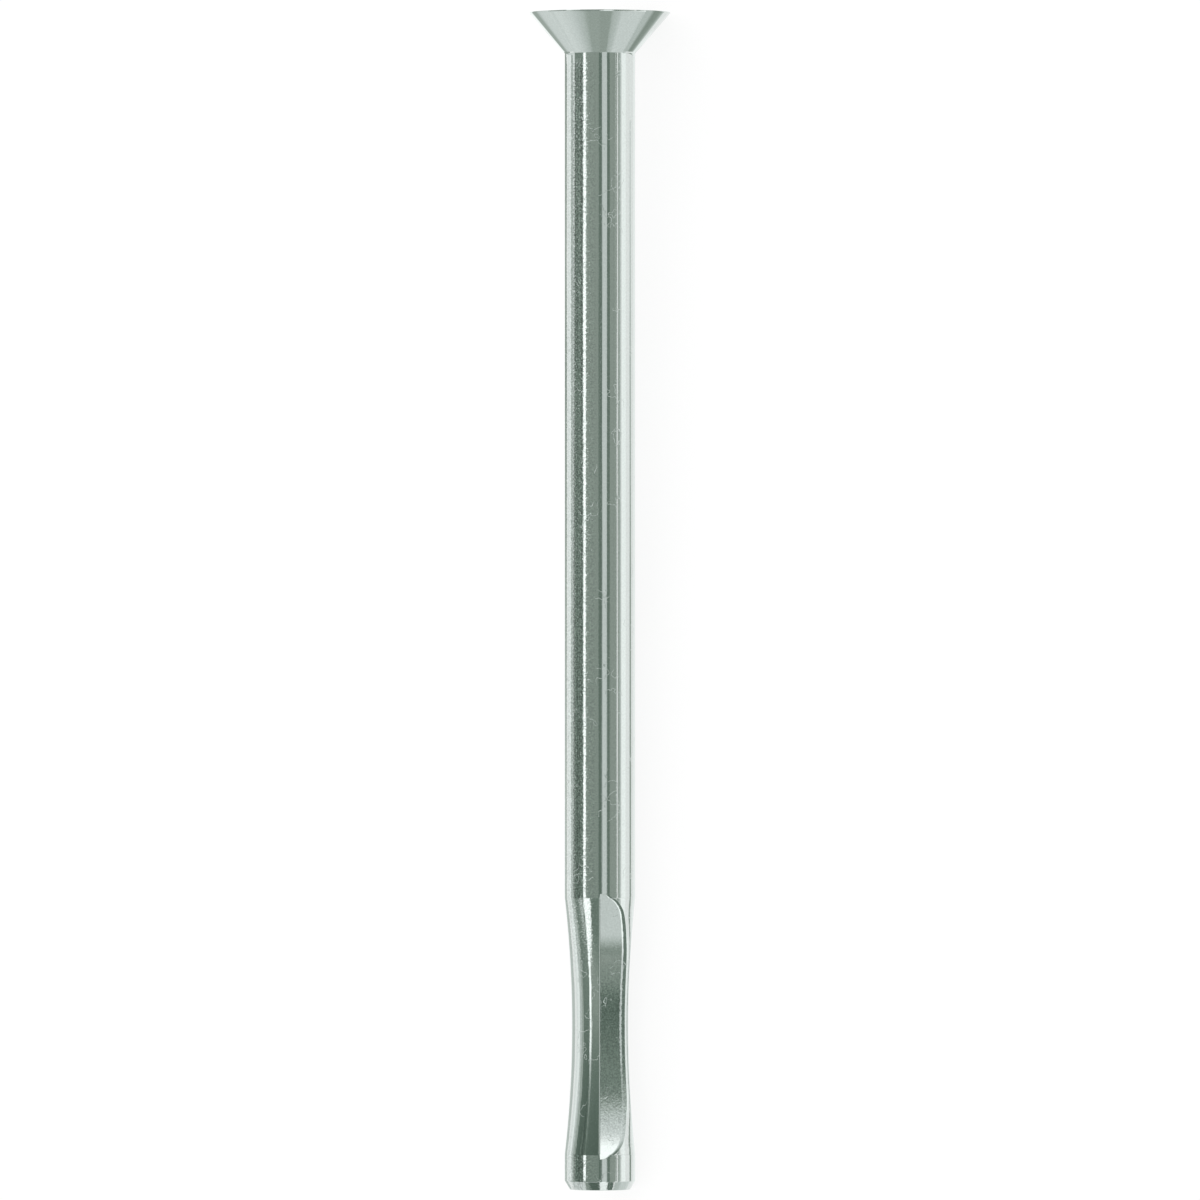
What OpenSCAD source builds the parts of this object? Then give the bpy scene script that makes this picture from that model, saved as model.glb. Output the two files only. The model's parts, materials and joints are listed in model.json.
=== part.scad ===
// Split drive anchor: a one-piece flat-head pin whose end is sheared in two, each half bowed out
// the opposite way. Driven into a drilled hole, the two bowed halves spring back and grip the wall.
// The pin lies on its head and its tip, head toward +Y, on the surface z = 0.

/* [Pin] */
// Length over all, from the flat of the head to the tip
overall_length = 101.6; // [60:0.1:150]
// Diameter of the round shank
shank_diameter = 6.1; // [5.8:0.05:7]
// Height of the bevel round the tip
tip_bevel_height = 0.75; // [0.3:0.05:1.5]
// Width of the bevel round the tip, measured inward from the shank
tip_bevel_width = 0.43; // [0.1:0.01:1]

/* [Head] */
// Diameter of the countersunk head
head_diameter = 12.15; // [10:0.05:15]
// Angle between opposite sides of the head's cone
countersink_angle = 82; // [75:1:100]
// Height of the narrow band round the head's rim
rim_band = 0.1; // [0.05:0.05:0.5]

/* [Bow] */
// Distance from the tip to the kink where the bow starts
bow_start = 3.06; // [2.5:0.01:6]
// Length of the bow, from kink to kink
bow_length = 22.14; // [18:0.01:30]
// How far each half stands out past the shank at the middle of the bow
bow_rise = 0.75; // [0.3:0.01:0.9]
// Width of the pin across its waist, at the middle of the bow
waist_width = 4.88; // [4.2:0.01:5.7]
// How far the widest line of each half moves outward with the bow
flank_shift = 0.3; // [0:0.01:0.5]
// Width of the sheared slit between the two halves
split_gap = 0.06; // [0.04:0.01:0.2]

/* [Pressed face] */
// Depth of the flat face pressed into the inner side of each half
press_depth = 2.08; // [1.6:0.01:2.4]
// Length of the pressed face along the shank
press_length = 22.85; // [20:0.01:32]
// Distance from the axis to where the shoulder of the pressed face starts to round, at the waist
shoulder_start = 0.46; // [0.2:0.01:0.6]
// Height of the rounded shoulder at the waist
shoulder_height = 0.75; // [0.6:0.01:1.1]
// How late along the bow the shoulder tightens, 1 for at once and 3 for close to the waist
shoulder_onset = 2.3; // [1:0.1:3]

/* [Rest] */
// How far the pin is rolled about its axis, from lying with a bow straight down
rest_roll = 38; // [38:1:60]

/* [Hidden] */

// Smoothness: rings along the bow, points round each half, and facets of the true rounds
bow_rings = 40;
half_points = 34;
$fn = 96;

shank_r = shank_diameter / 2;
head_r = head_diameter / 2;
tip_r = shank_r - tip_bevel_width;
waist_r = waist_width / 2;
slit_r = split_gap / 2;

// Stations along the axis, measured from the tip
bow_end = bow_start + bow_length;
bow_middle = bow_start + bow_length / 2;
cone_top = overall_length - rim_band;
cone_height = (head_r - shank_r) / tan(countersink_angle / 2);
cone_base = cone_top - cone_height;

// The bow runs this far into the round ends, this much under their surface, so that they fuse
root_length = 0.3;
root_inset = 0.035;

// The pressed face is part of a cylinder that lies across the shank: its radius follows from
// the length and depth of the face, by the rule for a chord and its rise
press_r = (pow(press_length / 2, 2) + pow(press_depth, 2)) / (2 * press_depth);
press_floor = shank_r - press_depth;

// Rest: the head's rim and the bevel's upper edge touch z = 0, and the bounding box is centred
rest_tilt = atan((head_r - shank_r) / (cone_top - tip_bevel_height));
rest_lift = head_r * cos(rest_tilt) - cone_top * sin(rest_tilt);
rest_back = (overall_length * cos(rest_tilt) + (head_r - tip_r) * sin(rest_tilt)) / 2;

// Share of the full bow at a place t along it, -1 and 1 at the kinks: a parabola
function bow_share(t) = 1 - t * t;

function blend(from, to, share) = from + (to - from) * share;

// Sizes of one half's section at a share w of the bow
function half_width(w) = blend(shank_r - root_inset, waist_r, w);
function outer_height(w) = blend(shank_r - root_inset, shank_r + bow_rise - flank_shift, w);
function inner_height(w) = blend(shank_r - root_inset, shoulder_height, pow(w, shoulder_onset));

// One point of a half's section: a quarter ellipse on the inner side, a straight flank, and a
// quarter ellipse on the outer side. The angle runs from -90 (inner crest) to 90 (outer crest).
function section_point(w, angle) = [
    half_width(w) * cos(angle),
    angle < 0
        ? inner_height(w) * sin(angle) - shoulder_start * w
        : outer_height(w) * sin(angle) + flank_shift * w
];

// The section stops where it meets the slit
function section_ring(w, z) = let(last = acos(slit_r / half_width(w)))
    [for (i = [0 : half_points - 1])
        let(p = section_point(w, last * (2 * i / (half_points - 1) - 1))) [p[0], p[1], z]];

// Solid through equal rings of points, listed from the bottom up
module loft(rings) {
    n = len(rings[0]);
    last = len(rings) - 1;
    points = [for (ring = rings) each ring];
    bottom = [[for (i = [0 : n - 1]) i]];
    top = [[for (i = [n - 1 : -1 : 0]) last * n + i]];
    sides = [for (k = [0 : last - 1]) for (i = [0 : n - 1])
        let(a = k * n + i, b = k * n + (i + 1) % n)
        each [[a, a + n, b + n], [a, b + n, b]]];
    polyhedron(points, concat(bottom, top, sides), convexity = 4);
}

// One bowed half, on the +X side of the slit: it bows toward +Y
module bowed_half() {
    steps = [for (k = [0 : bow_rings]) 2 * k / bow_rings - 1];
    loft(concat(
        [section_ring(0, bow_start - root_length)],
        [for (t = steps) section_ring(bow_share(t), bow_middle + t * (bow_length / 2 - root_inset))],
        [section_ring(0, bow_end + root_length)]
    ));
}

// Cutter for the flat face pressed into the inner side (-Y) of the +X half
module press_cutter() {
    translate([0, -press_floor - press_r, bow_middle]) rotate([0, 90, 0])
        cylinder(h = head_diameter, r = press_r, $fn = 360);
}

module round_tip() {
    rotate_extrude() polygon([
        [0, 0], [tip_r, 0], [shank_r, tip_bevel_height], [shank_r, bow_start], [0, bow_start]
    ]);
}

module headed_shank() {
    rotate_extrude() polygon([
        [0, bow_end], [shank_r, bow_end], [shank_r, cone_base],
        [head_r, cone_top], [head_r, overall_length], [0, overall_length]
    ]);
}

// The second half is the first turned half a turn about the axis
module both_halves() {
    for (turn = [0, 180]) rotate([0, 0, turn]) children();
}

module anchor_pin() {
    color([0.78, 0.81, 0.80])
    translate([0, -rest_back, rest_lift]) rotate([rest_tilt - 90, 0, 0]) rotate([0, 0, rest_roll])
        difference() {
            union() {
                round_tip();
                headed_shank();
                both_halves() bowed_half();
            }
            both_halves() press_cutter();
        }
}

anchor_pin();
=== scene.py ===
import bpy
import bmesh
import json
import math
import numpy as np
from mathutils import Matrix, Vector


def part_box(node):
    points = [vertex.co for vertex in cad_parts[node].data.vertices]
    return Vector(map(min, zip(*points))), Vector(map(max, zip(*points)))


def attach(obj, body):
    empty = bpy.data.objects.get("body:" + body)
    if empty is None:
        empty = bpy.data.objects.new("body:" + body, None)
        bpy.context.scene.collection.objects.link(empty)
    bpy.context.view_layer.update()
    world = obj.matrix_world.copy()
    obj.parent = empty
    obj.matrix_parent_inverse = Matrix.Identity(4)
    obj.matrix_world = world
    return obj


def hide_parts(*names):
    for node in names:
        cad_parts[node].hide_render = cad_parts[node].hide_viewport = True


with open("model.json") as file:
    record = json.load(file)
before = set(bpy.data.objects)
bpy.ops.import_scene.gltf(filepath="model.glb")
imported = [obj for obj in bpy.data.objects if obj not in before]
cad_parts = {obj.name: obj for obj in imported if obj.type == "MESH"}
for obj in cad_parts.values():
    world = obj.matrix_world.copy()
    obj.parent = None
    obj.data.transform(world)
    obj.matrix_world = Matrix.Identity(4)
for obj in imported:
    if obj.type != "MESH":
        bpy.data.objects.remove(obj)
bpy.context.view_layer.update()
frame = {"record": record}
print("frame loaded")

mounts = {m["name"]: m for m in frame["record"]["mounts"]}
headTop = Vector(mounts["head_top"]["pos_m"])
pinAxis = Vector(mounts["head_top"]["axis"]).normalized()  # from the tip to the head
lowCorner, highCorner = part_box("anchor_pin")

pinForm = {  # millimetres and degrees
    "length": 101.6,
    "shankRadius": mounts["tip_pilot"]["dims"]["r_mm"],
    "headRadius": 500 * (highCorner[0] - lowCorner[0]),
    "coneAngle": 82.0,
    "rimBand": 0.1,
    "bevelHeight": 0.75,
    "bevelWidth": 0.43,
    "roll": 38.0,         # about the axis, from lying with a bow straight down
    "edgeRound": 0.05,    # of the tip's edges and the rim
    "coneRound": 0.06,    # where the cone meets the rim
    "baseRound": 0.015,   # where the cone meets the shank
    "tipRun": 2.0,        # shank that is drawn with the tip
    "headRun": 1.5,       # shank that is drawn with the head
    "poleRadius": 0.02,   # of the first and last ring, each closed by a fan
    "shankSteps": 40,
    "sharpAngle": 24.0,   # edges that turn by more are shaded sharp
}
bowForm = {  # millimetres and degrees; a share of the bow is 0 at the kinks and 1 in the middle
    "start": 3.06,
    "length": 22.14,
    "rise": 0.75,
    "waist": 4.88,
    "flankShift": 0.3,     # of the outer ellipse outwards, which leaves the flank straight there
    "pressDepth": 2.08,
    "pressLength": 22.85,
    "shoulderHeight": 0.93,  # of the inner ellipse in the middle of the bow
    "shoulderFrom": 0.12,  # shares of the bow at which the tight shoulder sets in and is complete
    "shoulderTo": 0.74,
    "crestOut": 0.165,     # share of the half width that the pressed face's crest lies further out
    "crestIn": 0.30,       # and what is taken off that by the middle
    "crestFrom": 0.2,      # share of the bow by which that has set in
    "slit": 0.03,          # width of the gap between the two halves
    "slitWeb": 0.05,       # what is left of the slit's floor, each side of the axis
    "slitEase": 0.15,      # length over which the slit opens at each kink
    "lipWidth": 0.12,      # of the pressed face's rolled-over edge, two narrow facets
    "lipTurn": 6.0,
    "fallWidth": 0.33,
    "fallTurn": 14.0,
    "endWidth": 0.75,      # share of those widths that is left at the kinks
    "shearRound": 0.07,
    "mostShare": 0.4,      # the most of the face that the facets or the sheared corner may take
    "creaseInset": 0.03,   # from a facet's edge to its first point, at the crease and at the others
    "facetInset": 0.012,
    "bowSteps": 171,
    "pressSteps": 9,       # between a kink and the pressed face's end
    "pressCrowd": 1.5,     # power that crowds them towards the kink
    "kinkStep": 0.01,      # to the rings beside each kink
    "pressStep": 0.015,    # to the ring past each end of the pressed face
}
chainPoints = {"wall": 4, "shear": 6, "outer": 36, "inner": 30, "facet": 3, "face": 14, "floor": 3}

rollAngle = math.radians(pinForm["roll"])
sideways = Vector((1, 0, 0))
upwards = sideways.cross(pinAxis)
acrossAxis = sideways * math.cos(rollAngle) - upwards * math.sin(rollAngle)  # to the right of the view
facingAxis = sideways * math.sin(rollAngle) + upwards * math.cos(rollAngle)  # towards the camera
tipCentre = headTop - pinAxis * pinForm["length"] / 1000


def pinPoint(across, facing, station):
    # A place in metres from millimetres across, facing, and along from the tip
    return tipCentre + (acrossAxis * across + facingAxis * facing + pinAxis * station) / 1000


def smooth(x):
    # 3 x squared less 2 x cubed, held between 0 and 1
    x = np.clip(x, 0, 1)
    return x * x * (3 - 2 * x)


def roundedProfile(corners, rounding, steps=5, most=0.4, outside=1.2):
    # A line of straight stretches whose corners are eased by a parabola, (1 - t) squared of where it
    # leaves a stretch, 2 t (1 - t) of the corner and t squared of where it meets the next, both a
    # rounding's length from the corner. A point on each stretch, a little further out, keeps the
    # shading of the stretches flat. Gives the points in order.
    out = [np.array(corners[0], float)]
    for before, corner, after, r in zip(corners[:-2], corners[1:-1], corners[2:], rounding):
        b, c, a = (np.array(p, float) for p in (before, corner, after))
        shareBack = min(most, r / np.linalg.norm(b - c))
        shareOn = min(most, r / np.linalg.norm(a - c))
        p0, p2 = c + (b - c) * shareBack, c + (a - c) * shareOn
        t = np.linspace(0, 1, steps)[:, None]
        out.append(c + (b - c) * shareBack * outside)
        out.extend((1 - t) ** 2 * p0 + 2 * t * (1 - t) * c + t * t * p2)
        out.append(c + (a - c) * shareOn * outside)
    out.append(np.array(corners[-1], float))
    return np.array(out)


def pinStations():
    # Stations along the axis with the turned radius there: the bevelled tip, the bow at the sine of
    # even steps, so that they crowd towards the kinks, the plain shank, the cone and the rim.
    f, b = pinForm, bowForm
    shankRadius, headRadius, length = f["shankRadius"], f["headRadius"], f["length"]
    coneTop = length - f["rimBand"]
    coneBase = coneTop - (headRadius - shankRadius) / math.tan(math.radians(f["coneAngle"] / 2))
    shankEnd = coneBase - f["headRun"]
    tip = roundedProfile([(0, f["poleRadius"]), (0, shankRadius - f["bevelWidth"]),
                          (f["bevelHeight"], shankRadius), (f["tipRun"], shankRadius)],
                         [f["edgeRound"], f["edgeRound"]])
    head = roundedProfile([(shankEnd, shankRadius), (coneBase, shankRadius), (coneTop, headRadius),
                           (length, headRadius), (length, f["poleRadius"])],
                          [f["baseRound"], f["coneRound"], f["edgeRound"]])
    middle = b["start"] + b["length"] / 2
    half, pressHalf = b["length"] / 2, b["pressLength"] / 2
    beyond = np.linspace(0, 1, b["pressSteps"])[1:-1] ** b["pressCrowd"] * (pressHalf - half)
    inBow = middle + half * np.sin(np.linspace(-1, 1, b["bowSteps"]) * math.pi / 2)
    ends = np.concatenate([half + beyond, [pressHalf, pressHalf + b["pressStep"],
                                           half - b["kinkStep"], half + b["kinkStep"]]])
    bow = np.unique(np.round(np.concatenate([inBow, middle - ends, middle + ends]), 6))
    shank = np.linspace(bow[-1], shankEnd, f["shankSteps"])[1:-1]
    s = np.concatenate([tip[:, 0], bow, shank, head[:, 0]])
    r = np.concatenate([tip[:, 1], np.full(len(bow) + len(shank), shankRadius), head[:, 1]])
    return s, r


def sectionSizes(s, r):
    # The sizes that a section is drawn from, each an array over the stations. The bow's share is
    # w = 1 - t squared, with t from -1 at one kink to 1 at the other. Half the waist, the outer height
    # and its shift go straight with w. The pressed face is an arc of a circle. The inner height falls
    # smoothly to the shoulder's, and the inner ellipse is shifted so that it meets the pressed face at
    # the crest: on the circle at the kinks, further out beside them, and further in by the middle.
    b, shankRadius = bowForm, pinForm["shankRadius"]
    middle, half, pressHalf = b["start"] + b["length"] / 2, b["length"] / 2, b["pressLength"] / 2
    w = np.clip(1 - ((s - middle) / half) ** 2, 0, None)
    away = np.abs(s - middle)
    pressRadius = (pressHalf ** 2 + b["pressDepth"] ** 2) / (2 * b["pressDepth"])
    arc = np.sqrt(pressRadius ** 2 - np.clip(away, 0, pressHalf) ** 2)
    face = np.where(away < pressHalf - 1e-6, shankRadius - b["pressDepth"] + pressRadius - arc, r)

    wide = r + (b["waist"] / 2 - r) * w
    outer = r + (shankRadius + b["rise"] - b["flankShift"] - r) * w
    outerFrom = b["flankShift"] * w
    tight = smooth((w - b["shoulderFrom"]) / (b["shoulderTo"] - b["shoulderFrom"]))
    inner = r + (b["shoulderHeight"] - r) * tight
    setIn = np.sqrt(np.clip(w / b["crestFrom"], 0, 1))
    crestShare = np.sqrt(1 - np.clip(face / r, 0, 1) ** 2) + (b["crestOut"] - b["crestIn"] * w) * setIn
    innerFrom = np.clip(face - inner * np.sqrt(1 - crestShare ** 2), 0, None)

    opened = smooth((half - away) / b["slitEase"])
    slit = b["slit"] / 2 * opened
    slitFloor = face + (b["slitWeb"] - face) * opened
    return w, face, wide, outer, outerFrom, inner, innerFrom, slit, slitFloor


def halfChain(s, r):
    # Half of the section at each station, as points from the back of the slit round to its front:
    # wall of the slit, sheared corner eased by a parabola, outer quarter ellipse, straight flank,
    # inner quarter ellipse up to the crease, the rolled-over edge's fall and lip, which are straight
    # facets that drop by their width times the tangent of their turn, pressed face, and down into the
    # slit. Gives across and facing, stations by points.
    b, n = bowForm, chainPoints
    w, face, wide, outer, outerFrom, inner, innerFrom, slit, slitFloor = sectionSizes(s, r)
    crest = outer + outerFrom
    edgeAcross = wide * np.cos(np.arcsin(np.clip((face - innerFrom) / inner, 0, 1)))
    share = np.minimum(b["endWidth"] + (1 - b["endWidth"]) * w,
                       b["mostShare"] * edgeAcross / (b["lipWidth"] + b["fallWidth"]))
    lipWidth, fallWidth = b["lipWidth"] * share, b["fallWidth"] * share
    lipRate, fallRate = math.tan(math.radians(b["lipTurn"])), math.tan(math.radians(b["fallTurn"]))
    lipV = face - lipWidth * lipRate
    creaseV = lipV - fallWidth * fallRate
    creaseAngle = np.arcsin(np.clip((creaseV - innerFrom) / inner, 0, 1))
    creaseU = wide * np.cos(creaseAngle)
    fallEnd, lipEnd = creaseU - fallWidth, creaseU - fallWidth - lipWidth
    creaseInset, inset = b["creaseInset"] * share, b["facetInset"] * share
    shear = np.minimum(b["shearRound"], b["mostShare"] * (crest - face))
    shearAngle = np.arccos(np.clip((slit + shear) / wide, 0, 1))
    shearU, shearV = wide * np.cos(shearAngle), -(outerFrom + outer * np.sin(shearAngle))

    def line(a, c, count, last=False):
        k = np.linspace(0, 1, count, endpoint=last)[None, :]
        return a[:, None] * (1 - k) + c[:, None] * k

    def eased(a, m, c, count):
        k = np.linspace(0, 1, count, endpoint=False)[None, :]
        return a[:, None] * (1 - k) ** 2 + 2 * m[:, None] * k * (1 - k) + c[:, None] * k * k

    zero = np.zeros_like(s)
    outerTurn = line(shearAngle, zero, n["outer"])
    innerTurn = line(zero, creaseAngle, n["inner"], True)
    faceRun = 0.5 - 0.5 * np.cos(np.linspace(0, math.pi, n["face"]))[None, :-1]
    u = np.concatenate([
        line(slit, slit, n["wall"]),
        eased(slit, slit, shearU, n["shear"]),
        wide[:, None] * np.cos(outerTurn),
        wide[:, None] * np.cos(innerTurn),
        line(creaseU - creaseInset, fallEnd + inset, n["facet"]),
        line(fallEnd - inset, lipEnd + inset, n["facet"]),
        (lipEnd - inset)[:, None] + (slit - lipEnd + inset)[:, None] * faceRun,
        line(slit, slit, n["floor"], True),
    ], axis=1)
    v = np.concatenate([
        line(-slitFloor, -(crest - shear), n["wall"]),
        eased(-(crest - shear), -crest, shearV, n["shear"]),
        -(outerFrom[:, None] + outer[:, None] * np.sin(outerTurn)),
        innerFrom[:, None] + inner[:, None] * np.sin(innerTurn),
        line(creaseV + fallRate * creaseInset, lipV - fallRate * inset, n["facet"]),
        line(lipV + lipRate * inset, face - lipRate * inset, n["facet"]),
        face[:, None] + 0 * faceRun,
        line(face, slitFloor, n["floor"], True),
    ], axis=1)
    return u, v


def closedSurface(name, rings, merge=1e-7):
    # Rings of points, rings by points by 3, joined to a closed surface: four-sided faces between
    # neighbouring rings and a fan at each end. Points that coincide are then merged, and the faces
    # are turned outward.
    n, m = rings.shape[:2]
    points = np.concatenate([rings.reshape(-1, 3), rings[0].mean(0)[None], rings[-1].mean(0)[None]])
    k = np.arange(n - 1)[:, None] * m
    i = np.arange(m)[None, :]
    j = (i + 1) % m
    quads = np.stack([k + i, k + j, k + m + j, k + m + i], axis=-1).reshape(-1, 4)
    i, j = i[0], j[0]
    tipFan = np.stack([np.full(m, n * m), j, i], axis=-1)
    headFan = np.stack([np.full(m, n * m + 1), (n - 1) * m + i, (n - 1) * m + j], axis=-1)
    mesh = bpy.data.meshes.new(name)
    mesh.from_pydata(points.tolist(), [], quads.tolist() + tipFan.tolist() + headFan.tolist())
    work = bmesh.new()
    work.from_mesh(mesh)
    bmesh.ops.remove_doubles(work, verts=work.verts, dist=merge)
    bmesh.ops.dissolve_degenerate(work, edges=work.edges, dist=merge / 10)
    bmesh.ops.recalc_face_normals(work, faces=work.faces)
    work.to_mesh(mesh)
    work.free()
    mesh.shade_smooth()
    mesh.set_sharp_from_angle(angle=math.radians(pinForm["sharpAngle"]))
    piece = bpy.data.objects.new(name, mesh)
    bpy.context.scene.collection.objects.link(piece)
    return piece


def buildPin():
    # Each half chain and its copy turned half a turn, (u, v) and (-u, -v), make a whole ring.
    s, r = pinStations()
    u, v = halfChain(s, r)
    u, v = np.concatenate([u, -u], axis=1), np.concatenate([v, -v], axis=1)
    basis = np.array([acrossAxis, facingAxis, pinAxis])
    local = np.stack([u, v, np.broadcast_to(s[:, None], u.shape)], axis=-1) / 1000
    piece = closedSurface("zincPin", local @ basis + np.array(tipCentre))
    print("pin surface:", len(piece.data.polygons), "faces")
    return piece


pin = buildPin()

plating = {  # millimetres; places along are from the tip, places across are negative to the left
    "colour": (0.69, 0.735, 0.715),
    "colourSpread": 0.10,          # how much grain and drawn marks lighten and darken it
    "drawnShare": 0.5,             # what the drawn marks count for in that, beside the grain
    "speckle": 0.27,               # how much the coarse speckle lightens and darkens it
    "speckleSize": 0.16,
    "speckleAndShadeBand": (-2.28, -1.52),  # across, where that speckle has its full strength on the shank, and where painted shade lines darken the dark band that the shank mirrors there
    "besideShare": 0.35,           # its share beside the band, from the middle to the left
    "besideFade": (-0.2, -0.6),
    "pressedShare": 0.6,           # its share on the rough part of the pressed faces
    "bandSoft": 0.1,               # over which the band and the bow's ends fade
    "shadeLines": 0.30,                 # how much the band's lengthwise lines darken it: painted shade on the dark band that the shank mirrors
    "shadeLineWidth": 0.24,
    "roughness": 0.055,
    "roughnessSpread": 0.05,
    "grainSize": 0.16,
    "grainDepth": 0.004,
    "grainElsewhere": 0.12,        # share of that depth away from the rougher left side
    "grainFade": (0.1, -0.6),      # across, where that side sets in
    "crystalDepth": 0.002,
    "drawnWidth": 0.14,            # of the marks that drawing the wire left along the shank
    "drawnLength": 60.0,
    "drawnDepth": 0.004,
    "pressedGrain": 0.155,
    "pressedDepth": 0.006,
    "pressedFrom": (1.0, 3.0),     # past the lower kink, where the pressed faces turn rough
    "pressedTo": (17.0, 21.0),     # along, where they turn smooth again
    "squareTo": (0.88, 0.93),      # how squarely a face lies to the split to count as pressed
    "bowGrainFrom": (18.0, 21.0),  # along: nearer the tip the crests of the bow are smooth
    "tipClear": (0.8, 0.9),        # along, where the coarse speckle sets in
    "headClear": (97.0, 97.5),     # along, where marks, speckle and scratches end below the cone
    "scratchSpacing": 1.3,
    "scratchWidth": 0.007,         # in steps of the noise whose level lines they follow
    "scratchPatch": 2.4,
    "scratchKept": (0.57, 0.63),   # the noise of the patches, where scratches set in
    "scratchDepth": 0.006,
    "scratchDull": 0.25,           # what a scratch adds to the roughness
    "crystalKept": (0.62, 0.72),   # the stretch of each noise over which it goes from none to all
    "drawnKept": (0.35, 0.65),
    "grainKept": (0.36, 0.64),
    "spotKept": (0.35, 0.65),
    "shadeLineKept": (0.38, 0.62),
    "dullKept": (0.3, 0.75),
}


def nodeTree(material):
    material.use_nodes = True
    tree = material.node_tree
    tree.nodes.clear()
    return tree


def mathNode(tree, operation, *values):
    # A Math node, each value a number or a socket
    node = tree.nodes.new("ShaderNodeMath")
    node.operation = operation
    for q, value in enumerate(values):
        if isinstance(value, (int, float)):
            node.inputs[q].default_value = value
        else:
            tree.links.new(value, node.inputs[q])
    return node.outputs[0]


def product(tree, first, *others):
    for other in others:
        first = mathNode(tree, "MULTIPLY", first, other)
    return first


def rangeNode(tree, value, low, high, toLow=0.0, toHigh=1.0):
    # Carries low to high over to toLow to toHigh in a straight line, held at both ends
    node = tree.nodes.new("ShaderNodeMapRange")
    tree.links.new(value, node.inputs["Value"])
    for key, number in (("From Min", low), ("From Max", high), ("To Min", toLow), ("To Max", toHigh)):
        node.inputs[key].default_value = number
    return node.outputs["Result"]


def fadeIn(tree, place, ends, toLow=0.0, toHigh=1.0):
    # 0 to 1 as a place in metres runs from one end to the other, both in millimetres
    return rangeNode(tree, place, ends[0] / 1000, ends[1] / 1000, toLow, toHigh)


def fadeOut(tree, place, ends):
    return fadeIn(tree, place, ends, 1.0, 0.0)


def noiseNode(tree, vector, sizes, detail=2.0, roughness=0.5, shift=(0, 0, 0)):
    # Noise whose cells measure the given millimetres across, facing and along the pin. The shift
    # keeps two noises of one size apart.
    mapping = tree.nodes.new("ShaderNodeMapping")
    mapping.inputs["Scale"].default_value = [1000 / size for size in sizes]
    mapping.inputs["Location"].default_value = shift
    noise = tree.nodes.new("ShaderNodeTexNoise")
    noise.inputs["Scale"].default_value = 1
    noise.inputs["Detail"].default_value = detail
    noise.inputs["Roughness"].default_value = roughness
    tree.links.new(vector, mapping.inputs["Vector"])
    tree.links.new(mapping.outputs["Vector"], noise.inputs["Vector"])
    return noise.outputs["Fac"]


def grainNode(tree, space, size, shift=(0, 0, 0)):
    # Even grain of one size in all directions
    return noiseNode(tree, space, (size,) * 3, 1, 0.6, shift)


def bumpNode(tree, height, depth, below=None):
    bump = tree.nodes.new("ShaderNodeBump")
    bump.inputs["Strength"].default_value = 1
    bump.inputs["Distance"].default_value = depth / 1000
    tree.links.new(height, bump.inputs["Height"])
    if below is not None:
        tree.links.new(below, bump.inputs["Normal"])
    return bump.outputs["Normal"]


def dotNode(tree, vector, axis):
    dot = tree.nodes.new("ShaderNodeVectorMath")
    dot.operation = "DOT_PRODUCT"
    dot.inputs[1].default_value = axis
    tree.links.new(vector, dot.inputs[0])
    return dot.outputs["Value"]


def pinSpace(tree):
    # Object coordinates turned into the pin's own: across, facing, and along from the tip
    place = tree.nodes.new("ShaderNodeTexCoord").outputs["Object"]
    centred = tree.nodes.new("ShaderNodeVectorMath")
    centred.operation = "SUBTRACT"
    centred.inputs[1].default_value = tipCentre
    tree.links.new(place, centred.inputs[0])
    joined = tree.nodes.new("ShaderNodeCombineXYZ")
    for q, axis in enumerate((acrossAxis, facingAxis, pinAxis)):
        tree.links.new(dotNode(tree, centred.outputs[0], axis), joined.inputs[q])
    return joined.outputs[0]


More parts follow.
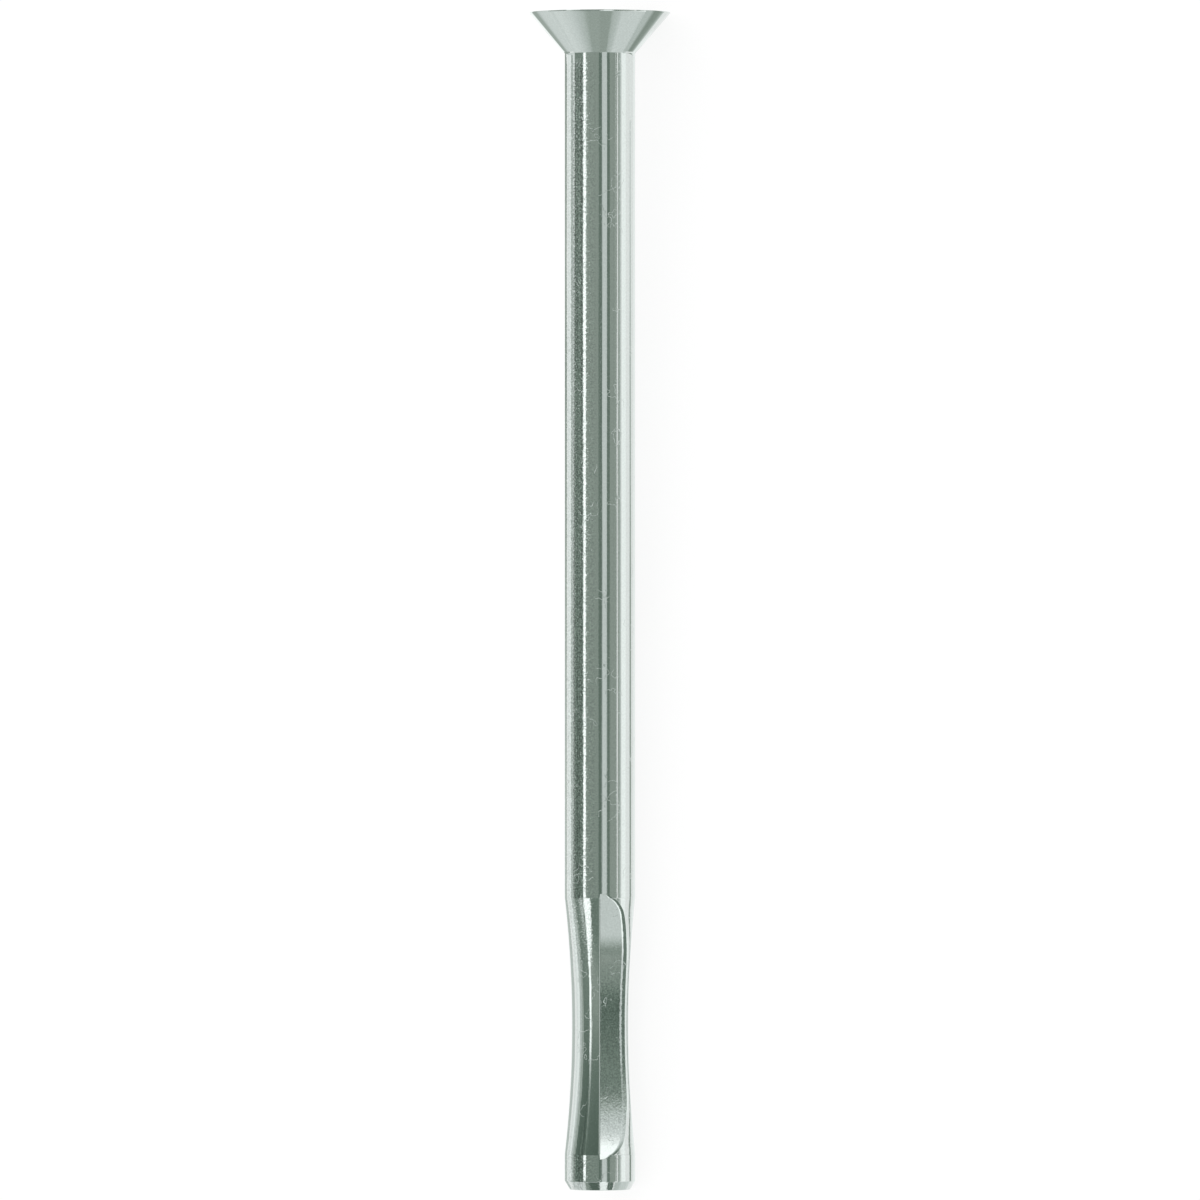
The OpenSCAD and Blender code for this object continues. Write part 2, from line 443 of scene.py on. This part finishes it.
def platingMasks(tree, space):
    # Where each finish shows, 0 to 1: below the head, on the rough part of the pressed faces, on the
    # rougher left side, in its coarse band, which also takes painted shade, and wherever the coarse speckle
    # shows.
    p = plating
    split = tree.nodes.new("ShaderNodeSeparateXYZ")
    tree.links.new(space, split.inputs[0])
    across, facing, along = (split.outputs[q] for q in "XYZ")
    bowFrom, bowLength, soft = bowForm["start"], bowForm["length"], p["bandSoft"]
    belowHead = fadeOut(tree, along, p["headClear"])

    # The pressed faces lie front right and back left, square to the split
    onPressed = rangeNode(tree, product(tree, across, facing), 0.0, 1e-7)
    turned = dotNode(tree, tree.nodes.new("ShaderNodeTexCoord").outputs["Normal"], facingAxis)
    square = rangeNode(tree, mathNode(tree, "ABSOLUTE", turned), *p["squareTo"])
    pastKink = fadeIn(tree, along, [bowFrom + end for end in p["pressedFrom"]])
    worked = product(tree, pastKink, fadeOut(tree, along, p["pressedTo"]), onPressed, square)

    # The rougher left side, but not the bow's crest low down
    lowBow = product(tree, fadeIn(tree, along, (bowFrom - soft, bowFrom + soft)),
                     fadeOut(tree, along, p["bowGrainFrom"]))
    offCrest = mathNode(tree, "SUBTRACT", 1.0, lowBow)
    rougher = product(tree, fadeIn(tree, across, p["grainFade"]), offCrest, belowHead)
    rougher = rangeNode(tree, rougher, 0.0, 1.0, p["grainElsewhere"], 1.0)

    # The coarse band, which stops at the bow. It also takes painted shade: dark lines where the shank
    # mirrors a dark card
    bandFrom, bandTo = p["speckleAndShadeBand"]
    fromBow = mathNode(tree, "SUBTRACT", along, (bowFrom + bowLength / 2) / 1000)
    offBow = fadeIn(tree, mathNode(tree, "ABSOLUTE", fromBow), (bowLength / 2 - soft, bowLength / 2))
    inBand = product(tree, fadeIn(tree, across, (bandFrom - soft, bandFrom)),
                     fadeOut(tree, across, (bandTo, bandTo + soft)), offBow)
    beside = fadeIn(tree, across, p["besideFade"], 0.0, p["besideShare"])
    coarse = product(tree, mathNode(tree, "MAXIMUM", inBand, beside), belowHead, offCrest,
                     fadeIn(tree, along, p["tipClear"]))
    coarse = mathNode(tree, "MAXIMUM", coarse, product(tree, worked, p["pressedShare"]))
    # The fourth mask, the band below the head, is where painted shade darkens the mirrored dark band
    return belowHead, worked, rougher, product(tree, inBand, belowHead), coarse


def platingMaterial():
    p = plating
    material = bpy.data.materials.new("zincPlating")
    tree = nodeTree(material)
    shader = tree.nodes.new("ShaderNodeBsdfPrincipled")
    output = tree.nodes.new("ShaderNodeOutputMaterial")
    tree.links.new(shader.outputs["BSDF"], output.inputs["Surface"])
    shader.inputs["Metallic"].default_value = 1
    space = pinSpace(tree)
    belowHead, worked, rougher, paintedShadeBand, coarse = platingMasks(tree, space)

    # Bump, in layers: marks drawn along the shank, grain, crystals, pressed grain, then scratches
    drawn = noiseNode(tree, space, (p["drawnWidth"], p["drawnWidth"], p["drawnLength"]), 3)
    normal = bumpNode(tree, product(tree, drawn, belowHead), p["drawnDepth"])
    grain = grainNode(tree, space, p["grainSize"])
    normal = bumpNode(tree, product(tree, grain, rougher), p["grainDepth"], normal)
    crystals = rangeNode(tree, grain, *p["crystalKept"])
    normal = bumpNode(tree, product(tree, crystals, rougher), p["crystalDepth"], normal)
    pressed = grainNode(tree, space, p["pressedGrain"], (7, 3, 1))
    normal = bumpNode(tree, product(tree, pressed, worked), p["pressedDepth"], normal)

    # Fine curled scratches: the level lines of a slow noise, kept where a second noise is high
    curls = noiseNode(tree, space, (p["scratchSpacing"],) * 3, 2, 0.5, (2, 9, 5))
    level = mathNode(tree, "ABSOLUTE", mathNode(tree, "SUBTRACT", curls, 0.5))
    thin = rangeNode(tree, level, 0.0, p["scratchWidth"], 1.0, 0.0)
    patches = noiseNode(tree, space, (p["scratchPatch"],) * 3, 1, 0.5, (4, 4, 8))
    scratches = product(tree, thin, rangeNode(tree, patches, *p["scratchKept"]), belowHead)
    normal = bumpNode(tree, scratches, p["scratchDepth"], normal)
    tree.links.new(normal, shader.inputs["Normal"])

    # Colour: the plated colour times a shade, which is 1 and a little more or less by the grain and
    # the drawn marks, by the coarse speckle where it shows, and darker by painted shade: dark lines along
    # the band where the shank mirrors a dark card
    marks = product(tree, rangeNode(tree, drawn, *p["drawnKept"]), p["drawnShare"])
    marks = mathNode(tree, "ADD", rangeNode(tree, grain, *p["grainKept"]), marks)
    fine = rangeNode(tree, marks, 0.0, 1 + p["drawnShare"], -p["colourSpread"] / 2, p["colourSpread"] / 2)
    spots = grainNode(tree, space, p["speckleSize"], (5, 1, 6))
    spots = rangeNode(tree, spots, *p["spotKept"], -p["speckle"], p["speckle"])
    # Painted shade: lengthwise lines that only darken the band where the shank mirrors a dark card
    shadeLines = noiseNode(tree, space, (p["shadeLineWidth"], p["shadeLineWidth"], p["drawnLength"]), 1, 0.5, (3, 8, 2))
    shadeLines = product(tree, rangeNode(tree, shadeLines, *p["shadeLineKept"], -p["shadeLines"], 0.0), paintedShadeBand)
    shade = mathNode(tree, "ADD", fine, product(tree, spots, coarse))
    shade = mathNode(tree, "ADD", shade, mathNode(tree, "ADD", shadeLines, 1.0))
    colour = tree.nodes.new("ShaderNodeVectorMath")
    colour.operation = "SCALE"
    colour.inputs[0].default_value = p["colour"]
    tree.links.new(shade, colour.inputs["Scale"])
    tree.links.new(colour.outputs[0], shader.inputs["Base Color"])

    dull = rangeNode(tree, grain, *p["dullKept"], p["roughness"], p["roughness"] + p["roughnessSpread"])
    rough = mathNode(tree, "ADD", dull, product(tree, scratches, p["scratchDull"]))
    tree.links.new(rough, shader.inputs["Roughness"])
    return material


pin.data.materials.append(platingMaterial())
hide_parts("anchor_pin")
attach(pin, "root")
print("plating done")

studio = {  # metres and strengths of light
    "floorSize": 40.0,
    "floorColour": (0.20, 0.20, 0.20),
    "floorWhite": 0.83,       # the floor's own glow, for the camera and for reflections
    "worldStrength": 1.0,
    "domeRadius": 8.0,
    "nearShare": 0.97,        # of that radius, for the cards that stand in front of the others
    "domeStep": 1.5,          # degrees of rise between a card's rows
    "domeColumns": 25,
    "cardLift": 0.05,         # millimetres that the floor's cards lie above it
    "tints": [(0.15, (0.80, 1.07, 0.89)), (0.36, (0.91, 1.035, 0.935)),
              (0.7, (0.955, 1.01, 0.99)), (1.0, (0.985, 1.005, 1.0))],
}
viewing = {"distance": 1.17, "station": 50.87, "frameHeight": 103.58, "sensor": 36, "clip": (0.05, 20)}
viewCentre = pinPoint(0, 0, viewing["station"])
cameraPlace = viewCentre + facingAxis * viewing["distance"]
cardOrigin = np.array([headTop[0], headTop[1], 0])  # the floor below the middle of the head's top

# Cards of light and shade on a dome over the pin, seen only in its reflections. Angles in degrees:
# "sides" lists (rise, left side, right side), where rise goes from square to the pin up towards its
# head, and the sides are turned round the pin from the camera to the right of the view.
# "light" lists (rise, strength). A card with "near" stands in front of the others.
sideCards = {
    "leftWall": {
        "sides": [(-47, -128, -118), (-17, -128, -118), (3, -128, -91.5), (60, -128, -91.5)],
        "light": [(-47, 0.80), (-20, 0.88), (0, 0.96), (60, 0.98)]},
    "leftGlow": {
        "sides": [(-3, -119, -110.5), (60, -119, -110.5)],
        "light": [(-3, 1.08), (60, 1.08)], "near": True},
    "leftLine": {
        "sides": [(-3, -109.5, -100.5), (60, -109.5, -100.5)],
        "light": [(-3, 0.7), (0, 0.50), (60, 0.55)], "near": True},
    "leftGrey": {
        "sides": [(-47, -118, -86), (-16, -118, -81), (-12, -116, -87), (-7, -107, -89.5), (2, -95, -91.5)],
        "light": [(-47, 0.8), (-28, 0.8), (-18, 0.35), (-12, 0.38), (-7, 0.5), (2, 0.42)], "near": True},
    "leftShade": {
        "sides": [(-47, -91.5, -58), (60, -91.5, -58)],
        "light": [(-47, 0.8), (-31, 0.8), (-20, 0.10), (-12, 0.11), (-8, 0.13), (-3, 0.20),
                  (0, 0.25), (3.2, 0.26), (4.5, 0.72), (60, 1.1)]},
    "edgeLine": {
        "sides": [(2.8, -63.5, -59.5), (24, -63.5, -59.5)],
        "light": [(2.8, 0.28), (24, 0.40)], "near": True},
    "lowLine": {
        "sides": [(-13, -71, -67.5), (-7, -71, -67.5)],
        "light": [(-13, 0.14), (-10, 0.30), (-7, 0.15)], "near": True},
    "middle": {
        "sides": [(-47, -58, -3.6), (60, -58, -3.6)],
        "light": [(-47, 0.76), (-31, 0.76), (-20, 0.13), (-12, 0.17), (-6, 0.22), (-2.6, 0.29),
                  (0, 0.345), (4, 0.36), (9, 0.22), (15, 0.22), (25, 0.5), (36, 1.2), (60, 1.25)]},
    "strip": {
        "sides": [(-14, -52, -49), (-8, -54, -48.5), (-4, -56.3, -46.9), (3.6, -55.7, -48.0),
                  (5, -58, -41.5), (9, -58, -34), (60, -58, -32)],
        "light": [(-14, 0.16), (-11, 0.28), (-8, 0.36), (-5, 0.7), (-3.4, 1.5), (2.7, 1.55),
                  (5, 1.36), (60, 1.36)], "near": True},
    "front": {
        "sides": [(-47, -3.6, 6.3), (60, -3.6, 6.3)],
        "light": [(-47, 0.74), (-38, 0.73), (-29.5, 0.76), (-27, 0.50), (-25.2, 0.30), (-22, 0.38),
                  (-19, 0.32), (-15, 0.31), (-10.5, 0.18), (-8, 0.165), (-3.5, 0.175), (0, 0.19),
                  (3, 0.20), (8.8, 0.24), (18, 0.25), (23, 0.54), (26, 0.72), (30, 0.79),
                  (32, 1.02), (34.6, 1.4), (60, 1.4)]},
    "brightBand": {
        "sides": [(-47, 6.3, 22.5), (60, 6.3, 22.5)],
        "light": [(-47, 1.45), (-28, 1.3), (-24, 1.0), (-21, 0.85), (-4.5, 0.75), (4.5, 0.71),
                  (10, 0.68), (17, 0.45), (24, 0.72), (30, 0.9), (60, 1.2)]},
    "darkBand": {
        "sides": [(-47, 22.5, 31.5), (60, 22.5, 31.5)],
        "light": [(-47, 0.22), (10, 0.20), (14, 0.28), (20, 0.5), (26, 0.8), (32, 0.85),
                  (38, 0.46), (47, 0.42), (60, 1.0)]},
    "rightGrey": {
        "sides": [(-47, 31.5, 56.2), (60, 31.5, 56.2)],
        "light": [(-47, 0.33), (-5, 0.36), (5, 0.36), (60, 1.0)]},
}
tipCards = {
    "farLeft": {
        "sides": [(-90, -128, -72), (-47, -128, -72)],
        "light": [(-90, 0.55), (-71, 0.61), (-67.4, 0.67), (-63.8, 0.74), (-60, 0.79), (-52, 0.85),
                  (-47, 0.86)]},
    "left": {
        "sides": [(-90, -72, -55), (-47, -72, -55)],
        "light": [(-90, 0.44), (-75.3, 0.44), (-74.2, 0.48), (-73.2, 0.54), (-71, 0.61), (-65, 0.5),
                  (-58, 0.34), (-47, 0.34)]},
    "centre": {
        "sides": [(-90, -55, 0), (-47, -55, 0)],
        "light": [(-90, 0.44), (-72, 0.44), (-67, 0.145), (-47, 0.145)]},
    "bright": {
        "sides": [(-90, 0, 39), (-47, 0, 39)],
        "light": [(-90, 0.41), (-72, 0.41), (-67, 1.12), (-47, 1.12)]},
    "right": {
        "sides": [(-90, 39, 64), (-47, 39, 64)],
        "light": [(-90, 0.41), (-72, 0.41), (-67, 0.16), (-47, 0.16)]},
}
# Cards on the floor: rows of (one end, other end, strength of light). Ends in millimetres, to the
# right of the axis and along from the top of the head, negative towards the tip.
floorCards = {
    "leftEdge": [((-8.8, -108), (-30.5, -108), 0.62), ((-10.1, -75), (-35.6, -75), 0.60),
                 ((-11.0, -50), (-39.4, -50), 0.44), ((-11.8, -30), (-42.5, -30), 0.31),
                 ((-12.0, -20), (-36, -20), 0.40), ((-12.3, -8), (-43, -8), 0.40),
                 ((-12.3, -2.5), (-46, -2.5), 0.36)],
    "rightFar": [((45, -110), (2600, -110), 0.36), ((78, 14), (2900, 14), 0.36)],
    "rightBand": [((17.5, -110), (29, -110), 0.40), ((29.5, 14), (50, 14), 0.42)],
    "rightEase": [((12.9, -110), (17.5, -110), 0.62), ((21.5, 14), (29.5, 14), 0.66)],
    "rightGlow": [((7.1, -101.5), (12.1, -101.5), 1.15), ((10.6, 14), (19.2, 14), 1.15)],
    "rightLine": [((3.85, -101.5), (4.6, -101.5), 0.34), ((4.4, -50), (5.35, -50), 0.42),
                  ((5.1, -9), (6.0, -9), 0.75)],
    "rightRim": [((1.9, -101.5), (3.1, -101.5), 1.05), ((1.3, -2.5), (3.2, -2.5), 1.05)],
    "tipShade": [((12.6, -125.3), (21.1, -119.7), 0.17), ((54, -228), (96, -202), 0.17),
                 ((300, -800), (500, -670), 0.17)],
    "tipRight": [((2.2, -104.2), (3.9, -101.6), 0.86), ((2.9, -105.2), (5.3, -101.9), 0.77),
                 ((4.3, -107.8), (7.9, -103.3), 0.77), ((5.0, -109.2), (9.0, -105.0), 0.64),
                 ((6.6, -112.5), (11.6, -108.6), 0.62), ((10.6, -119.6), (17.4, -115.6), 0.62)],
}
# Cards that stand where the cone mirrors them, with light on their head side alone. Each row goes
# with a straight line up the cone, from "inner" to "outer", both (radius, down from the head's top)
# in millimetres. "light" lists (the line's turn round the pin from the camera, strength). The card
# is a "reach" from the cone, or on a wall: (along the axis at the origin, slope to the right,
# slope upwards).
coneCards = {
    "headGrey": {
        "inner": (2.95, 3.68), "outer": (6.6, -0.5), "wall": (-12.3, -0.05, 0.10),
        "light": [(2, 0.41), (9.3, 0.41), (10.8, 0.54), (12.5, 0.60), (16, 0.64), (19.5, 0.79), (28, 0.79)]},
    "headLight": {
        "inner": (2.95, 3.68), "outer": (6.6, -0.5), "wall": (-8.3, -0.05, 0.10),
        "light": [(28, 0.79), (38.3, 0.79), (40.5, 0.64)]},
    "headStripe": {
        "inner": (3.14, 3.46), "outer": (6.6, -0.5), "wall": (-7.185, 1.13, 0.0),
        "light": [(40.5, 0.63), (47.5, 0.62), (49.5, 0.45), (51.5, 0.34), (57, 0.36), (60, 0.42),
                  (62.5, 0.56), (65, 0.78)]},
    "headLeft": {
        "inner": (3.14, 3.46), "outer": (6.6, -0.5), "reach": 0.5,
        "light": [(-84, 1.15), (-76.5, 1.15), (-73.5, 0.46), (-65.5, 0.47), (-63, 0.62), (-60, 0.76),
                  (-57, 0.80), (-47, 0.82)]},
}


def buildFloor():
    # A plain pale floor. The camera and reflections see its own white, and the object's shadow
    # falls on its grey.
    half = studio["floorSize"] / 2
    mesh = bpy.data.meshes.new("floor")
    corners = [(-half, -half, 0), (half, -half, 0), (half, half, 0), (-half, half, 0)]
    mesh.from_pydata(corners, [], [(0, 1, 2, 3)])
    floor = bpy.data.objects.new("floor", mesh)
    bpy.context.scene.collection.objects.link(floor)
    material = bpy.data.materials.new("floorPaper")
    tree = nodeTree(material)
    paper = tree.nodes.new("ShaderNodeBsdfDiffuse")
    paper.inputs["Color"].default_value = (*studio["floorColour"], 1)
    glow = tree.nodes.new("ShaderNodeEmission")
    path = tree.nodes.new("ShaderNodeLightPath")
    seen = mathNode(tree, "MAXIMUM", path.outputs["Is Camera Ray"], path.outputs["Is Glossy Ray"])
    seen = mathNode(tree, "MAXIMUM", seen, path.outputs["Is Transmission Ray"])
    tree.links.new(product(tree, seen, studio["floorWhite"]), glow.inputs["Strength"])
    add = tree.nodes.new("ShaderNodeAddShader")
    output = tree.nodes.new("ShaderNodeOutputMaterial")
    tree.links.new(paper.outputs[0], add.inputs[0])
    tree.links.new(glow.outputs[0], add.inputs[1])
    tree.links.new(add.outputs[0], output.inputs["Surface"])
    mesh.materials.append(material)


def buildWorld():
    world = bpy.data.worlds.new("studioWorld")
    bpy.context.scene.world = world
    world.use_nodes = True
    background = world.node_tree.nodes["Background"]
    background.inputs["Color"].default_value = (1, 1, 1, 1)
    background.inputs["Strength"].default_value = studio["worldStrength"]


def cardMaterial(name, oneSided=False):
    material = bpy.data.materials.new(name)
    tree = nodeTree(material)
    tint = tree.nodes.new("ShaderNodeAttribute")
    tint.attribute_name = "light"
    glow = tree.nodes.new("ShaderNodeEmission")
    output = tree.nodes.new("ShaderNodeOutputMaterial")
    tree.links.new(tint.outputs["Color"], glow.inputs["Color"])
    surface = glow.outputs[0]
    if oneSided:
        side = tree.nodes.new("ShaderNodeNewGeometry")
        clear = tree.nodes.new("ShaderNodeBsdfTransparent")
        mix = tree.nodes.new("ShaderNodeMixShader")
        tree.links.new(side.outputs["Backfacing"], mix.inputs["Fac"])
        tree.links.new(surface, mix.inputs[1])
        tree.links.new(clear.outputs[0], mix.inputs[2])
        surface = mix.outputs[0]
    tree.links.new(surface, output.inputs["Surface"])
    material.cycles.emission_sampling = "NONE"
    return material


def stageCard(name, points, light, material):
    # A grid of points, rows by columns by 3, with a strength of light for each row. Its tint goes
    # with the strength, from the studio's list.
    n, m = points.shape[:2]
    k = (np.arange(n - 1)[:, None] * m + np.arange(m - 1)[None, :]).reshape(-1)
    faces = np.stack([k, k + 1, k + m + 1, k + m], axis=-1)
    mesh = bpy.data.meshes.new(name)
    mesh.from_pydata(points.reshape(-1, 3).tolist(), [], faces.tolist())
    colour = np.ones((n, m, 4), np.float32)
    levels, tints = zip(*studio["tints"])
    tint = np.stack([np.interp(light, levels, shade) for shade in zip(*tints)], axis=-1)
    colour[..., :3] = (np.asarray(light)[:, None] * tint)[:, None, :]
    mesh.attributes.new("light", "FLOAT_COLOR", "POINT").data.foreach_set("color", colour.reshape(-1))
    mesh.materials.append(material)
    card = bpy.data.objects.new(name, mesh)
    bpy.context.scene.collection.objects.link(card)
    card.visible_camera = card.visible_diffuse = card.visible_shadow = False


def domeCard(name, card, material):
    # Part of a dome: radius times (cosine of the rise times the level direction at a turn, plus sine
    # of the rise times the pin's axis). Both sides and the light are eased straight between the
    # rises that they are listed with.
    sides, light = np.array(card["sides"]), np.array(card["light"])
    low, high = sides[0, 0], sides[-1, 0]
    knots = np.concatenate([sides[:, 0], light[:, 0], np.arange(low, high, studio["domeStep"])])
    rise = np.unique(np.clip(knots, low, high))
    left, right = (np.interp(rise, sides[:, 0], sides[:, q]) for q in (1, 2))
    turn = left[:, None] + (right - left)[:, None] * np.linspace(0, 1, studio["domeColumns"])[None, :]
    turn, up = np.radians(turn)[..., None], np.radians(rise)[:, None, None]
    radius = studio["domeRadius"] * (studio["nearShare"] if card.get("near") else 1)
    level = np.cos(turn) * np.array(facingAxis) + np.sin(turn) * np.array(acrossAxis)
    points = np.array(viewCentre) + radius * (np.cos(up) * level + np.sin(up) * np.array(pinAxis))
    stageCard(name, points, np.interp(rise, light[:, 0], light[:, 1]), material)


def floorCard(name, rows, material):
    ends = np.array([[(*end, studio["cardLift"]) for end in row[:2]] for row in rows])
    stageCard(name, ends / 1000 + cardOrigin, [row[2] for row in rows], material)


def coneCard(name, card, material):
    # The camera's line of sight w to a point of the cone, whose normal is n, is mirrored into
    # d = 2 (n.w) n - w. The card's point is a reach along d, or where d meets the wall.
    half, axis = math.radians(pinForm["coneAngle"] / 2), np.array(pinAxis)
    turn = np.radians([row[0] for row in card["light"]])[:, None, None]
    outward = np.cos(turn) * np.array(facingAxis) + np.sin(turn) * np.array(acrossAxis)
    radius, down = (np.array(pair)[None, :, None] for pair in zip(card["inner"], card["outer"]))
    points = (np.array(headTop) - cardOrigin) * 1000 + outward * radius - axis * down
    normal = outward * math.cos(half) - axis * math.sin(half)
    sight = (np.array(cameraPlace) - cardOrigin) * 1000 - points
    sight /= np.linalg.norm(sight, axis=-1, keepdims=True)
    mirrored = 2 * np.sum(normal * sight, axis=-1, keepdims=True) * normal - sight
    reach = card.get("reach")
    if reach is None:
        level, slopeRight, slopeUp = card["wall"]
        wall = np.array([-slopeRight, 1, -slopeUp])
        reach = ((level - points @ wall) / (mirrored @ wall))[..., None]
    ends = points + mirrored * reach
    stageCard(name, ends / 1000 + cardOrigin, [row[1] for row in card["light"]], material)


def buildCards():
    material, oneSided = cardMaterial("cardLight"), cardMaterial("cardLightOneSide", True)
    for name, card in (sideCards | tipCards).items():
        domeCard(name, card, material)
    for name, rows in floorCards.items():
        floorCard(name, rows, material)
    for name, card in coneCards.items():
        coneCard(name, card, oneSided)


def buildCamera():
    data = bpy.data.cameras.new("viewCamera")
    data.sensor_width = viewing["sensor"]
    data.lens = viewing["sensor"] / (viewing["frameHeight"] / 1000 / viewing["distance"])
    data.clip_start, data.clip_end = viewing["clip"]
    camera = bpy.data.objects.new("viewCamera", data)
    bpy.context.scene.collection.objects.link(camera)
    turn = Matrix((acrossAxis, pinAxis, facingAxis)).transposed().to_4x4()
    camera.matrix_world = Matrix.Translation(cameraPlace) @ turn
    bpy.context.scene.camera = camera


buildFloor()
buildWorld()
buildCards()
buildCamera()
bpy.context.scene.view_settings.view_transform = "Standard"
print("studio done")
